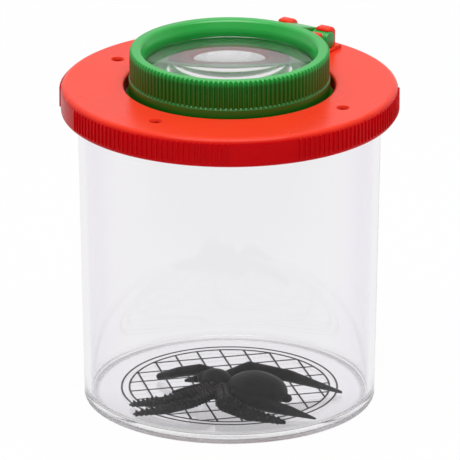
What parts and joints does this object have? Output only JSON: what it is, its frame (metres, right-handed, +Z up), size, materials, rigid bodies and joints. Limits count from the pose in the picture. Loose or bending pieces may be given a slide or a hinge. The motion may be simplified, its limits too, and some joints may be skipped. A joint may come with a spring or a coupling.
{
  "type": "bug catcher jar",
  "caption": "Clear cylindrical bug viewing jar with a measuring grid on its floor, a vented push-on lid, a fixed lower lens, a flip-up magnifier on a snap-in hinge and a toy spider.",
  "frame": {"origin": "centre of the jar's foot, on the surface that it stands on", "axes": "+Z up; the hinge of the flip-up lens is on the +Y side and its pin lies along X"},
  "size_m": [0.071, 0.071, 0.0766],
  "materials": {
    "clear_plastic": "clear polished polystyrene",
    "lens_plastic": "clear polished acrylic",
    "ink": "printed black ink",
    "red_plastic": "semi-gloss moulded",
    "green_plastic": "semi-gloss moulded",
    "soft_black": "soft matt moulded"
  },
  "bodies": {
    "jar": {"jar": "clear_plastic", "measuring_grid": "ink"},
    "lid": {"lid": "red_plastic", "lower_lens": "lens_plastic"},
    "lens_flip": {"lens_frame": "green_plastic", "upper_lens": "lens_plastic"},
    "spider": {"toy_spider": "soft_black"}
  },
  "joints": [
    {"name": "lid_lift", "type": "slide", "parent": "jar", "child": "lid", "axis": [0, 0, 1], "range_m": [0, 0.06]},
    {"name": "lens_hinge", "type": "hinge", "parent": "lid", "child": "lens_flip", "pos_m": [0, 0.0288, 0.0714], "axis": [-1, 0, 0], "range_deg": [0, 160]},
    {"name": "spider_lift", "type": "slide", "parent": "jar", "child": "spider", "axis": [0, 0, 1], "range_m": [0, 0.045]}
  ]
}
